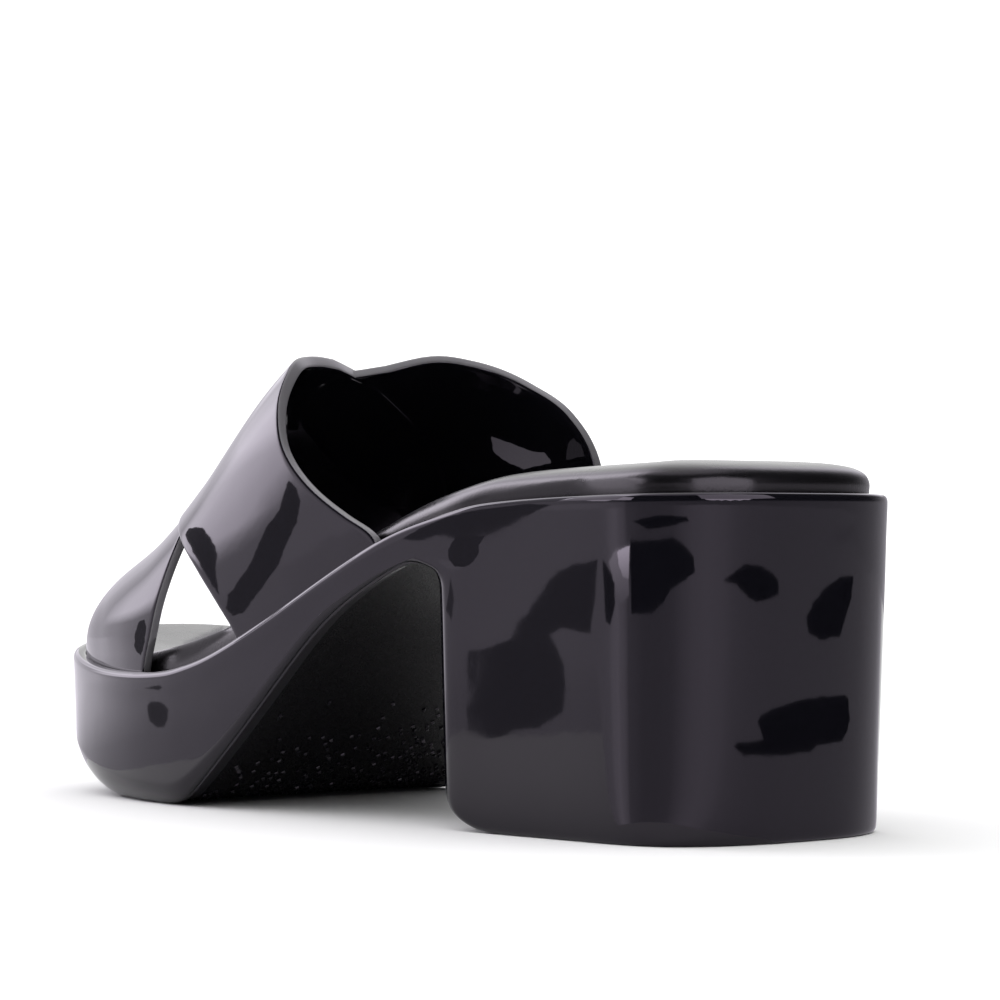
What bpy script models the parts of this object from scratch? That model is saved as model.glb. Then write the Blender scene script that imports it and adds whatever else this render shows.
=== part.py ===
"""Platform mule, left shoe: a moulded sole with block heel, a padded insole and crossed bands.

The toe points along +X, the wearer's left is +Y and the floor is z = 0. Sizes are in
millimetres and become metres when the vertices are made. Along the shoe, x is counted
from the back of the heel, and the finished parts are moved so that the origin lies under
the middle of the shoe's box.
"""

import math

import bmesh
import bpy
import numpy as np

MM = 0.001
SHOE_NAME = "platform_mule"

# Whole shoe
LENGTH = 240.0
MIDDLE_Y = 0.24
GAP = 0.3

# Cross-sections from heel to toe: the rim's edge on each side, the rim's height, the
# underside's height between heel and forefoot, and the reach of the lower edge's rounding
SECTION_COLUMNS = ("x", "lateral", "medial", "rim", "under", "round")
SECTIONS = np.array([
    (10.0, 32.0, -33.2, 72.1, 54.0, 1.4),
    (24.0, 36.6, -37.8, 71.8, 54.0, 1.4),
    (42.0, 38.0, -38.8, 71.3, 54.0, 1.4),
    (58.0, 39.3, -38.6, 70.3, 55.0, 1.4),
    (66.0, 40.1, -38.3, 69.2, 56.4, 1.4),
    (74.2, 40.8, -38.2, 67.5, 57.8, 1.4),
    (86.0, 41.8, -38.4, 64.5, 55.6, 1.4),
    (98.0, 42.8, -38.8, 59.7, 51.4, 1.4),
    (111.0, 43.7, -39.7, 53.5, 44.2, 1.4),
    (124.0, 44.6, -41.0, 47.1, 33.2, 1.4),
    (138.0, 45.3, -42.6, 40.6, 20.2, 1.6),
    (151.0, 45.7, -44.1, 35.2, 9.8, 2.2),
    (161.0, 45.8, -44.9, 32.8, 2.8, 3.2),
    (169.0, 45.7, -45.3, 31.5, 0.0, 4.0),
    (181.0, 45.1, -45.2, 30.8, 0.0, 5.0),
    (193.0, 43.7, -44.4, 30.9, 0.0, 6.0),
    (204.0, 41.5, -42.6, 31.5, 0.0, 7.5),
    (216.0, 37.8, -39.0, 33.0, 1.6, 9.0),
    (227.0, 31.4, -32.3, 35.4, 5.0, 10.0),
])
X, LATERAL, MEDIAL, RIM, UNDER, ROUND = range(len(SECTION_COLUMNS))
BREAST_SECTION = 5

# Ends of the outline, between the first and the last section's two sides
OUTLINE_COLUMNS = ("x", "y", "rim", "under", "round")
HEEL_BACK = np.array([
    (1.8, 17.5, 72.2, 54.0, 1.4),
    (0.0, -0.6, 72.2, 54.0, 1.4),
    (1.8, -18.7, 72.2, 54.0, 1.4),
])
TOE_FRONT = np.array([
    (236.6, 18.0, 37.2, 8.0, 10.0),
    (240.0, -1.5, 37.8, 9.0, 10.0),
    (236.8, -20.0, 37.2, 8.0, 10.0),
])

# Sole: rings from the recess up over the lip and down the outer wall, each as its inset
# from the rim's edge and its drop below the rim
RECESS_DEPTH = 6.0
LIP_INNER = 3.4
SOLE_RINGS = (
    (8.0, RECESS_DEPTH),
    (LIP_INNER, RECESS_DEPTH),
    (LIP_INNER, 3.2),
    (LIP_INNER - 0.1, 0.9),
    (LIP_INNER - 1.0, 0.0),
    (0.9, 0.0),
    (0.0, 1.1),
    (0.5, 3.2),
    (0.5, 6.0),
)
WALL_SHARES = (0.5, 1.0)
WALL_DRAFT = 0.032
HEEL_LEVELS = (50.0, 30.0, 10.0, 2.5, 0.0)
HEEL_FRONT_LIFT = 3.0
HEEL_LIFT_FROM = 60.0

# Insole: a domed pad that fills the recess, drawn in where the bands pass down beside it
PAD_INSET_FREE = LIP_INNER + 2 * GAP
PAD_INSET_BANDS = 7.4
BANDS_FROM = 87.0
BANDS_TO = 224.0
BANDS_EASE = 11.0
PAD_RISE_HEEL = 6.2
PAD_RISE_TOE = 3.8
PAD_THINS_FROM = 80.0
PAD_THINS_TO = 160.0

# Insole rings: further inset with the height above the recess, then with the share of the rise
PAD_FOOT_RINGS = ((2.3, 2 * GAP), (0.5, 2 * GAP + 1.6))
PAD_DOME_RINGS = ((0.3, 0.15), (0.0, 0.4), (1.2, 0.75), (5.0, 0.92), (13.0, 1.0))

# Upper: the vault that the bands are cut from, with the ridge's height at each x
BAND_WALL = 2.4
BAND_INSET = LIP_INNER + 3 * GAP
BAND_TUCK = 3.4
BAND_LOW = 1.0
VAULT_POWER = 3.05
VAULT_LEAN = 2.7
VAULT_RIDGE = np.array([
    (90.0, 129.5),
    (120.0, 118.7),
    (145.0, 103.5),
    (165.0, 86.3),
    (185.0, 70.1),
    (205.0, 59.2),
    (225.0, 50.0),
])

# Places on the vault as (x, angle): 0 degrees at the lateral rim, 90 on the ridge, 180 medial
REAR_NOTCH = (147.3, 90.0)
FRONT_NOTCH = (184.0, 90.0)
LATERAL_APEX = (168.4, 27.0)
MEDIAL_APEX = (161.0, 153.0)

# Each band end has an edge nearer the heel and an edge nearer the toe, both from the rim upwards
BAND_ENDS = {
    "lateral_rear": (
        ((94.3, 0.0), (105.0, 4.1), (117.3, 12.0), (127.0, 23.3), (132.5, 38.0), (135.5, 55.0),
         (141.0, 70.0), REAR_NOTCH),
        ((143.0, 0.0), (148.4, 3.5), (154.1, 8.6), (160.1, 15.7), LATERAL_APEX),
    ),
    "lateral_front": (
        ((181.2, 0.0), (178.0, 4.5), (174.9, 11.7), (171.6, 19.8), LATERAL_APEX),
        ((218.5, 0.0), (210.0, 30.0), (197.0, 62.0), FRONT_NOTCH),
    ),
    "medial_rear": (
        ((100.5, 180.0), (104.5, 166.0), (111.0, 155.4), (122.4, 140.4), (135.0, 118.7),
         (141.5, 102.0), REAR_NOTCH),
        ((135.5, 180.0), (140.9, 176.5), (146.6, 171.4), (152.6, 164.3), MEDIAL_APEX),
    ),
    "medial_front": (
        ((173.8, 180.0), (170.6, 175.5), (167.5, 168.3), (164.2, 160.2), MEDIAL_APEX),
        ((209.0, 180.0), (201.0, 150.0), (191.0, 118.0), FRONT_NOTCH),
    ),
}
STEPS_ACROSS = 8
STEPS_ALONG = 10
SEAM_MERGE = 0.05

# Colour and roughness of each piece
SOLE_FINISH = ((0.010, 0.010, 0.012), 0.12)
INSOLE_FINISH = ((0.022, 0.021, 0.022), 0.45)
UPPER_FINISH = ((0.010, 0.010, 0.012), 0.10)


def remove_all_objects():
    """Empty the scene."""
    for thing in list(bpy.data.objects):
        bpy.data.objects.remove(thing, do_unlink=True)


def make_collection(name):
    """Return a new collection linked to the scene."""
    collection = bpy.data.collections.new(name)
    bpy.context.scene.collection.children.link(collection)
    return collection


def make_material(name, colour, roughness):
    """Return a plain Principled material."""
    material = bpy.data.materials.new(name)
    material.use_nodes = True
    shader = material.node_tree.nodes["Principled BSDF"]
    shader.inputs["Base Color"].default_value = (*colour, 1.0)
    shader.inputs["Roughness"].default_value = roughness
    shader.inputs["Metallic"].default_value = 0.0
    return material


def add_part(name, mesh_builder, material, collection):
    """Turn a finished bmesh into a named object with its material."""
    bmesh.ops.recalc_face_normals(mesh_builder, faces=mesh_builder.faces)
    mesh = bpy.data.meshes.new(name)
    mesh_builder.to_mesh(mesh)
    mesh_builder.free()
    mesh.shade_smooth()
    mesh.materials.append(material)
    part = bpy.data.objects.new(name, mesh)
    collection.objects.link(part)
    return part


def add_subdivision(part, levels):
    """Round a cage with a Subdivision Surface."""
    modifier = part.modifiers.new("Subdivision", "SUBSURF")
    modifier.levels = levels
    modifier.render_levels = levels


def to_metres(point):
    """Move a point from shoe millimetres to the part's own frame in metres."""
    x, y, z = point
    return ((x - LENGTH / 2) * MM, (y - MIDDLE_Y) * MM, z * MM)


def smooth_column(x, rows, column):
    """Read one column of a section table at x, on a cubic curve through its rows."""
    xs = rows[:, 0]
    values = rows[:, column]
    slopes = np.gradient(values, xs)
    i = int(np.clip(np.searchsorted(xs, x) - 1, 0, len(xs) - 2))
    span = xs[i + 1] - xs[i]
    t = (x - xs[i]) / span
    first = (1 + 2 * t) * (1 - t) ** 2 * values[i] + t * (1 - t) ** 2 * span * slopes[i]
    second = t * t * (3 - 2 * t) * values[i + 1] + t * t * (t - 1) * span * slopes[i + 1]
    return first + second


def ease(value, low, high):
    """Rise smoothly from 0 at low to 1 at high."""
    t = min(max((value - low) / (high - low), 0.0), 1.0)
    return t * t * (3 - 2 * t)


def outline_ring():
    """Return the outline's rows, round the shoe from the lateral side of the heel."""
    lateral = SECTIONS[:, [X, LATERAL, RIM, UNDER, ROUND]]
    medial = SECTIONS[:, [X, MEDIAL, RIM, UNDER, ROUND]]
    return np.vstack([lateral, TOE_FRONT, medial[::-1], HEEL_BACK[::-1]])


def ring_cage(points):
    """Return the closed cage whose smooth curve, a cubic spline, passes through the points."""
    count = len(points)
    matrix = np.zeros((count, count))
    for i in range(count):
        matrix[i, i - 1] = 1 / 6
        matrix[i, i] = 4 / 6
        matrix[i, (i + 1) % count] = 1 / 6
    return np.linalg.solve(matrix, points)


def ring_normals(points):
    """Return the outward unit normal at each point of a ring that runs lateral side first."""
    along = np.roll(points, -1, axis=0) - np.roll(points, 1, axis=0)
    along /= np.linalg.norm(along, axis=1)[:, None]
    return np.column_stack([-along[:, 1], along[:, 0]])


class Plan:
    """The outline's cage in plan, with its normals and the heights along it."""

    def __init__(self):
        columns = dict(zip(OUTLINE_COLUMNS, outline_ring().T))
        self.cage = ring_cage(np.column_stack([columns["x"], columns["y"]]))
        self.normals = ring_normals(self.cage)
        self.rim = columns["rim"]
        self.under = columns["under"]
        self.round = columns["round"]
        self.sections = len(SECTIONS)
        self.across = len(TOE_FRONT) + 1
        self.count = len(self.cage)

    def inset(self, distance):
        """Return the cage moved inwards by a distance, or by one distance for each point."""
        distance = np.broadcast_to(distance, self.count)
        return self.cage - self.normals * distance[:, None]

    def ring_index(self, section, column):
        """Return the ring's index of a grid place that lies on the outline, or None."""
        if column == 0:
            return section
        if column == self.across:
            return 2 * self.sections + self.across - 2 - section
        if section == self.sections - 1:
            return self.sections + column - 1
        if section == 0:
            return self.count - column
        return None


def add_ring(mesh_builder, plan_points, heights):
    """Add a closed ring of vertices."""
    return [mesh_builder.verts.new((x, y, z)) for (x, y), z in zip(plan_points, heights)]


def bridge(mesh_builder, ring_a, ring_b):
    """Join two rings with quads and return the faces."""
    count = len(ring_a)
    faces = []
    for i in range(count):
        j = (i + 1) % count
        faces.append(mesh_builder.faces.new((ring_a[i], ring_a[j], ring_b[j], ring_b[i])))
    return faces


def fill_grid(mesh_builder, plan, ring):
    """Fill a ring with rows of quads from side to side, and return the faces by section."""
    grid = {}
    for section in range(plan.sections):
        for column in range(plan.across + 1):
            index = plan.ring_index(section, column)
            if index is not None:
                grid[section, column] = ring[index]
                continue
            start = ring[plan.ring_index(section, 0)].co
            end = ring[plan.ring_index(section, plan.across)].co
            grid[section, column] = mesh_builder.verts.new(start.lerp(end, column / plan.across))
    faces = []
    for section in range(plan.sections - 1):
        for column in range(plan.across):
            corners = ((section, column), (section + 1, column),
                       (section + 1, column + 1), (section, column + 1))
            faces.append((section, mesh_builder.faces.new([grid[c] for c in corners])))
    return faces


def extrude_heel(mesh_builder, heel_faces):
    """Draw the heel block down from the faces behind the breast line, with draft."""
    breast_x = SECTIONS[BREAST_SECTION, X]
    half_width = SECTIONS[BREAST_SECTION, LATERAL]
    height = SECTIONS[0, UNDER]
    for level in HEEL_LEVELS:
        extruded = bmesh.ops.extrude_face_region(mesh_builder, geom=heel_faces)["geom"]
        bmesh.ops.delete(mesh_builder, geom=heel_faces, context="FACES_KEEP_BOUNDARY")
        heel_faces = [item for item in extruded if isinstance(item, bmesh.types.BMFace)]
        draw_in = WALL_DRAFT * (height - level)
        height = level
        for vert in extruded:
            if isinstance(vert, bmesh.types.BMVert):
                vert.co.x = breast_x + (vert.co.x - breast_x) * (1 - draw_in / breast_x)
                vert.co.y *= 1 - draw_in / half_width
                vert.co.z = level + HEEL_FRONT_LIFT * ease(vert.co.x, HEEL_LIFT_FROM, breast_x)


def build_sole(material, collection):
    """Mould the platform and the block heel as one body with a recess for the insole."""
    plan = Plan()
    mesh_builder = bmesh.new()
    rings = []
    for inset, drop in SOLE_RINGS:
        rings.append(add_ring(mesh_builder, plan.inset(inset), plan.rim - drop))
    last_inset, last_drop = SOLE_RINGS[-1]
    wall_top = plan.rim - last_drop
    for share in WALL_SHARES:
        heights = wall_top + (plan.under + plan.round - wall_top) * share
        drafted = last_inset + WALL_DRAFT * (wall_top - heights)
        rings.append(add_ring(mesh_builder, plan.inset(drafted), heights))
    edge_inset = last_inset + WALL_DRAFT * (wall_top - plan.under)
    rings.append(add_ring(mesh_builder, plan.inset(edge_inset), plan.under))
    rings.append(add_ring(mesh_builder, plan.inset(edge_inset + plan.round), plan.under))
    strips = []
    for upper_ring, lower_ring in zip(rings, rings[1:]):
        strips.append(bridge(mesh_builder, upper_ring, lower_ring))
    fill_grid(mesh_builder, plan, rings[0])
    under_faces = fill_grid(mesh_builder, plan, rings[-1])
    heel_faces = [face for section, face in under_faces if section < BREAST_SECTION]
    medial_breast = plan.ring_index(BREAST_SECTION, plan.across)
    for index, face in enumerate(strips[-1]):
        if index < BREAST_SECTION or index >= medial_breast:
            heel_faces.append(face)
    extrude_heel(mesh_builder, heel_faces)
    finish_vertices(mesh_builder)
    sole = add_part("sole", mesh_builder, material, collection)
    add_subdivision(sole, 1)
    return sole


def finish_vertices(mesh_builder):
    """Bring every vertex into the part's own frame."""
    for vert in mesh_builder.verts:
        vert.co = to_metres(vert.co)


def pad_inset(x):
    """Return how far the insole's edge lies inside the rim's edge at x."""
    past_start = ease(x, BANDS_FROM - BANDS_EASE, BANDS_FROM)
    past_end = ease(x, BANDS_TO, BANDS_TO + BANDS_EASE)
    return PAD_INSET_FREE + (PAD_INSET_BANDS - PAD_INSET_FREE) * past_start * (1 - past_end)


def pad_rise(x):
    """Return how far the insole's top stands above the rim at x."""
    thinned = ease(x, PAD_THINS_FROM, PAD_THINS_TO)
    return PAD_RISE_HEEL + (PAD_RISE_TOE - PAD_RISE_HEEL) * thinned


def build_insole(material, collection):
    """Make the pad that lies in the recess and stands a little above the rim."""
    plan = Plan()
    inset = np.array([pad_inset(x) for x in plan.cage[:, 0]])
    rise = np.array([pad_rise(x) for x in plan.cage[:, 0]])
    mesh_builder = bmesh.new()
    rings = []
    for extra, height in PAD_FOOT_RINGS:
        heights = plan.rim - RECESS_DEPTH + height
        rings.append(add_ring(mesh_builder, plan.inset(inset + extra), heights))
    for extra, share in PAD_DOME_RINGS:
        heights = plan.rim + share * rise
        rings.append(add_ring(mesh_builder, plan.inset(inset + extra), heights))
    for lower_ring, upper_ring in zip(rings, rings[1:]):
        bridge(mesh_builder, lower_ring, upper_ring)
    fill_grid(mesh_builder, plan, rings[0])
    fill_grid(mesh_builder, plan, rings[-1])
    finish_vertices(mesh_builder)
    insole = add_part("insole", mesh_builder, material, collection)
    add_subdivision(insole, 1)
    return insole


def vault_point(x, angle):
    """Return the vault's outer surface at x and at an angle across the foot, in degrees."""
    lateral = smooth_column(x, SECTIONS, LATERAL) - BAND_INSET
    medial = smooth_column(x, SECTIONS, MEDIAL) + BAND_INSET
    low = smooth_column(x, SECTIONS, RIM) - BAND_LOW
    ridge = smooth_column(x, VAULT_RIDGE, 1)
    across = math.cos(math.radians(angle))
    upward = math.sin(math.radians(angle))
    side = math.copysign(abs(across) ** (2 / VAULT_POWER), across)
    rise = max(upward, 0.0) ** (2 / VAULT_POWER)
    y = (lateral + medial) / 2 + (lateral - medial) / 2 * side + VAULT_LEAN * rise
    return (x, y, low + (ridge - low) * rise)


def edge_place(edge, t):
    """Return the place at t, from 0 to 1, on a smooth edge through a few places."""
    rows = np.column_stack([np.arange(len(edge)), np.array(edge)])
    step = t * (len(edge) - 1)
    return np.array([smooth_column(step, rows, 1), smooth_column(step, rows, 2)])


def band_end_grid(rear_edge, front_edge):
    """Return the places on the vault of one band end, as rows from the foot to the crossing."""
    rows = []
    for j in range(STEPS_ALONG + 1):
        t = j / STEPS_ALONG
        rear = edge_place(rear_edge, t)
        front = edge_place(front_edge, t)
        rows.append([rear + (front - rear) * i / STEPS_ACROSS for i in range(STEPS_ACROSS + 1)])
    return rows


def crossing_grid():
    """Return the places on the vault of the crossing, from the rear notch outwards."""
    corners = [np.array(point) for point in (REAR_NOTCH, LATERAL_APEX, MEDIAL_APEX, FRONT_NOTCH)]
    rear, lateral, medial, front = corners
    rows = []
    for j in range(STEPS_ACROSS + 1):
        v = j / STEPS_ACROSS
        row = []
        for i in range(STEPS_ACROSS + 1):
            u = i / STEPS_ACROSS
            row.append((1 - v) * ((1 - u) * rear + u * lateral) + v * ((1 - u) * medial + u * front))
        rows.append(row)
    return rows


def add_patch(mesh_builder, rows):
    """Add a patch of quads through rows of points in millimetres."""
    grid = [[mesh_builder.verts.new(point) for point in row] for row in rows]
    for low, high in zip(grid, grid[1:]):
        for i in range(len(low) - 1):
            mesh_builder.faces.new((low[i], low[i + 1], high[i + 1], high[i]))


def build_upper(material, collection):
    """Make the two crossed bands as one shell that goes down inside the lip."""
    mesh_builder = bmesh.new()
    for rear_edge, front_edge in BAND_ENDS.values():
        rows = [[vault_point(*place) for place in row] for row in band_end_grid(rear_edge, front_edge)]
        tucked = [(x, y, z - BAND_TUCK) for x, y, z in rows[0]]
        add_patch(mesh_builder, [tucked] + rows)
    add_patch(mesh_builder, [[vault_point(*place) for place in row] for row in crossing_grid()])
    bmesh.ops.remove_doubles(mesh_builder, verts=mesh_builder.verts, dist=SEAM_MERGE)
    finish_vertices(mesh_builder)
    upper = add_part("upper", mesh_builder, material, collection)
    wall = upper.modifiers.new("Wall", "SOLIDIFY")
    wall.thickness = BAND_WALL * MM
    wall.offset = -1.0
    wall.use_even_offset = True
    wall.use_quality_normals = True
    return upper


def build_shoe():
    """Build the three pieces of the shoe."""
    remove_all_objects()
    collection = make_collection(SHOE_NAME)
    build_sole(make_material("moulded_black", *SOLE_FINISH), collection)
    build_insole(make_material("pad_black", *INSOLE_FINISH), collection)
    build_upper(make_material("band_black", *UPPER_FINISH), collection)


build_shoe()
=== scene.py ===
"""Platform mule for the left foot: a moulded sole, a padded insole and two crossed bands.

The toe points along +X, the wearer's left is +Y and the floor is z = 0. Tables and outlines are
in millimetres, with x counted from the back of the heel, and become metres in the row's frame
when the vertices are made.
"""

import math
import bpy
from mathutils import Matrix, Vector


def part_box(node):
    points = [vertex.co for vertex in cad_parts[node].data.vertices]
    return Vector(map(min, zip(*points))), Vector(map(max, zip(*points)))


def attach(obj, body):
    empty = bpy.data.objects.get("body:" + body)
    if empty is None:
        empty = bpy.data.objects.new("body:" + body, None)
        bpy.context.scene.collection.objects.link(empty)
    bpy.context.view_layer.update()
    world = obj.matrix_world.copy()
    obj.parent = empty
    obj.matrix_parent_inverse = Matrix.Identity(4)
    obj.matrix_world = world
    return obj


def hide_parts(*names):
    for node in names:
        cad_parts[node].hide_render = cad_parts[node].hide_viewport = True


bl_info = {
    "name": "Platform Mule",
    "version": (1, 0, 0),
    "blender": (4, 5, 0),
    "location": "View3D > Sidebar > Mule",
    "description": "Builds a glossy moulded mule with crossed bands, and the studio around it",
    "category": "Add Mesh",
}

import bmesh
import bpy
import numpy as np
from mathutils import Matrix, Vector, noise
from mathutils.bvhtree import BVHTree
from mathutils.interpolate import poly_3d_calc

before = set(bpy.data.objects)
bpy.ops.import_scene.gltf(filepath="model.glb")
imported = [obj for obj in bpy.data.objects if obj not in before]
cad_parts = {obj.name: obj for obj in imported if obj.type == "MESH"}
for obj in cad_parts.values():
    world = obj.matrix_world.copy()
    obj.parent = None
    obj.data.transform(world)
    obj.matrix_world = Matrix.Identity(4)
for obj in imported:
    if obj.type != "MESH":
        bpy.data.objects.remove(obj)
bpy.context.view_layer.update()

MM = 0.001
BRIGHTNESS = "brightness"
MIRRORS = ("sole_moulding", "insole_pad", "upper_bands")
LENGTH = 240.0
MIDDLE_Y = 0.24
GAP = 0.3
NOISE_SEED = 7
SUBDIVISIONS = 3

# Cross-sections from heel to toe: the rim's edge on each side, the rim's height, the
# underside's height between heel and forefoot, and the reach of the lower edge's rounding
SECTION_COLUMNS = ("x", "lateral", "medial", "rim", "under", "round")
SECTIONS = np.array([
    (10.0, 32.0, -33.2, 72.1, 54.0, 1.4),
    (24.0, 36.6, -37.8, 71.8, 54.0, 1.4),
    (42.0, 38.0, -38.8, 71.3, 54.0, 1.4),
    (58.0, 39.3, -38.6, 70.3, 55.0, 1.4),
    (66.0, 40.1, -38.3, 69.2, 56.4, 1.4),
    (74.2, 40.8, -38.2, 67.5, 60.0, 1.4),
    (86.0, 41.8, -38.4, 64.5, 56.8, 1.4),
    (98.0, 42.8, -38.8, 59.7, 51.7, 1.4),
    (111.0, 43.7, -39.7, 53.5, 44.2, 1.4),
    (124.0, 44.6, -41.0, 47.1, 33.2, 1.4),
    (138.0, 45.3, -42.6, 40.6, 20.2, 1.6),
    (151.0, 45.7, -44.1, 35.2, 9.8, 2.2),
    (161.0, 45.8, -44.9, 32.8, 2.8, 3.2),
    (169.0, 45.7, -45.3, 31.5, 0.0, 4.0),
    (181.0, 45.1, -45.2, 30.8, 0.0, 5.0),
    (193.0, 43.7, -44.4, 30.9, 0.0, 6.0),
    (204.0, 41.5, -42.6, 31.5, 0.0, 7.5),
    (216.0, 37.8, -39.0, 33.0, 1.6, 9.0),
    (227.0, 31.4, -32.3, 35.4, 5.0, 10.0),
])
X, LATERAL, MEDIAL, RIM, UNDER, ROUND = range(len(SECTION_COLUMNS))
BREAST_SECTION = 5

# Ends of the outline, between the first and the last section's two sides
OUTLINE_COLUMNS = ("x", "y", "rim", "under", "round")
HEEL_BACK = np.array([
    (1.8, 17.5, 72.2, 54.0, 1.4),
    (0.0, -0.6, 72.2, 54.0, 1.4),
    (1.8, -18.7, 72.2, 54.0, 1.4),
])
TOE_FRONT = np.array([
    (236.6, 18.0, 37.2, 8.0, 10.0),
    (240.0, -1.5, 37.8, 9.0, 10.0),
    (236.8, -20.0, 37.2, 8.0, 10.0),
])

# Sole: rings over the lip as inset from the rim's edge and drop below the rim
RECESS_DEPTH = 6.0
LIP_INNER = 3.4
LIP_RINGS = (
    (8.0, RECESS_DEPTH),
    (LIP_INNER, RECESS_DEPTH),
    (LIP_INNER, 3.2),
    (LIP_INNER - 0.05, 0.8),
    (LIP_INNER - 0.5, 0.05),
    (1.7, 0.0),
    (0.9, 0.1),
    (0.34, 0.48),
    (0.06, 1.08),
    (0.0, 1.8),
    (0.09, 4.0),
    (0.17, 5.5),
    (0.28, 8.0),
)
WALL_SHARES = (0.5, 0.96, 1.0)
WALL_DRAFT = 0.032

# Lower edge of the platform: inset and height as shares of the rounding, then a flat strip as far
# as a ridge, inside which the underside is a recessed panel
EDGE_STEPS = ((0.14, 0.5), (0.5, 0.12), (0.86, 0.0))
STRIP_WIDTH = 1.7
BEAD_RINGS = ((0.0, 0.3), (0.12, 0.25), (0.3, -0.35), (0.5, -0.35))
BEAD_FADE = 6.0
PANEL_INSET = 0.7
PANEL_RECESS = 0.9
PANEL_FACING = 0.3

# Heel block: the levels of its walls, the rounding of its lower edge, the lift of its front, the
# fillet under the arch and the rounding of its two front corners
HEEL_LEVELS = (56.6, 55.0, 53.0, 50.0, 30.0, 8.0, 1.8)
HEEL_EDGE = (1.8, 0.8, 0.15, 0.0, 0.0, 0.0, 0.0, 0.0)
HEEL_FRONT_LIFT = 3.0
HEEL_LIFT_FROM = 60.0
LIFTED_BELOW = 10.0
LEVEL_STEP = 0.4
FILLET = 7.0
CORNER = 6.0
BREAST_FORWARD = 1.6

# Insole: a domed pad in the recess, drawn in where the bands pass down beside it, thinner towards
# the toe and with steeper edges from the arch on
PAD_INSET_FREE = LIP_INNER + 2 * GAP
PAD_INSET_BANDS = 6.3
BANDS_FROM = 87.0
BANDS_TO = 224.0
BANDS_EASE = 11.0
PAD_THINS_FROM = 160.0
PAD_THINS_TO = 205.0
PAD_STEEP_FROM = 80.0
PAD_STEEP_TO = 130.0
PAD_STEEP = 0.12

# Insole rings: further inset with the height above the recess, then with the share of the rise
PAD_FOOT_RINGS = ((2.3, 2 * GAP), (0.5, 2 * GAP + 1.6))
PAD_DOME_RINGS = (
    (0.3, 0.08), (0.0, 0.28), (0.5, 0.52), (1.9, 0.71), (5.0, 0.86), (11.0, 0.96), (19.0, 1.0),
)

# Upper: the vault that the bands lie on, with the ridge's height at each x
BAND_INSET = LIP_INNER - GAP
BAND_TUCK = 3.4
BAND_LOW = 1.0
VAULT_POWER = 3.05
VAULT_LEAN = 2.7
NORMAL_STEP = 0.4
SIDE_ANGLE = 45.0
VAULT_RIDGE = np.array([
    (90.0, 129.5),
    (120.0, 118.7),
    (145.0, 103.5),
    (165.0, 84.2),
    (185.0, 68.5),
    (205.0, 58.7),
    (225.0, 50.0),
])

# Places on the vault as (x, angle): 0 degrees at the lateral rim, 90 on the ridge, 180 medial
OVER_NOTCH = (147.3, 90.0)
UNDER_NOTCH = (146.0, 90.0)
FRONT_NOTCH = (184.0, 90.0)
OVER_APEX = (166.6, 27.2)
UNDER_APEX = (168.8, 29.3)
MEDIAL_APEX = (161.0, 153.0)
CROSSING = (OVER_NOTCH, UNDER_NOTCH, FRONT_NOTCH, OVER_APEX, UNDER_APEX, MEDIAL_APEX)

# Each band runs from one rim over the crossing to the other rim, between a rear and a front edge
OVER_BAND = (
    ((94.3, 0.0), (105.0, 4.1), (117.3, 12.0), (127.0, 23.3), (132.5, 38.0), (135.5, 55.0),
     (141.3, 73.0), (143.2, 80.5), (145.0, 86.5), OVER_NOTCH,
     MEDIAL_APEX, (164.2, 160.2), (167.5, 168.3), (170.6, 175.5), (173.8, 180.0)),
    ((143.0, 0.0), (148.4, 3.5), (154.1, 8.7), (160.1, 16.4), OVER_APEX,
     FRONT_NOTCH, (191.0, 118.0), (201.0, 150.0), (209.0, 180.0)),
)
UNDER_BAND = (
    ((100.5, 180.0), (104.5, 166.0), (111.0, 155.4), (122.4, 140.4), (134.4, 118.7),
     (140.3, 102.0), UNDER_NOTCH,
     UNDER_APEX, (171.6, 21.1), (174.9, 12.5), (178.0, 4.8), (181.2, 0.0)),
    ((135.5, 180.0), (140.9, 176.5), (146.6, 171.4), (152.6, 164.3), MEDIAL_APEX,
     FRONT_NOTCH, (197.0, 62.0), (210.0, 30.0), (218.5, 0.0)),
)
BAND_STAGES = 3.0
END_ROWS = 56
CROSSING_ROWS = 44
FOOT_EASE = 1.7
TUCK_ROWS = 3
BAND_COLUMNS = 40
ROW_SAMPLES = 90
LIFT_FROM = 0.3

# Rounding of a band's edge: distance from the edge and depth, both as shares of the wall
EDGE_PROFILE = ((0.0, 0.33), (0.025, 0.2), (0.09, 0.09), (0.19, 0.025), (0.35, 0.0), (0.7, 0.0))
# Columns at each edge that take the cut edges' material with its painted highlight
EDGE_COLUMNS = 3

# Tread: staggered rows of small lozenge studs under heel and forefoot
TREAD_FROM = 134.0
TREAD_SLANT = 0.27
TREAD_FADE = 60.0
TREAD_FADE_PITCH = 700.0
TREAD_CHANCE = 0.5
STUD_SINK = 0.4
STUD_LENGTH = 0.86
STUD_WIDTH = 0.62
STUD_LEAN = 0.5
STUD_LEAN_PITCH = 900.0
STUD_STRAY = 0.5
STUD_RINGS = ((1.0, -STUD_SINK, 0.0), (1.0, 0.0, 0.0), (0.66, 0.0, 0.9), (0.5, 0.0, 1.0))

# Camera of the picture, in the shoe's millimetres, and the picture's frame
PICTURE = 1000
CAMERA_TARGET = (40.0, 0.0)
CAMERA_AZIMUTH = 40.0
CAMERA_DISTANCE = 759.0
CAMERA_HEIGHT = 64.0
CAMERA_SIDE = -38.27
CAMERA_PITCH = 0.52
FOCAL_PIXELS = 3537.5
SENSOR_WIDTH = 36.0
CLIP_START = 0.01

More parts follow.
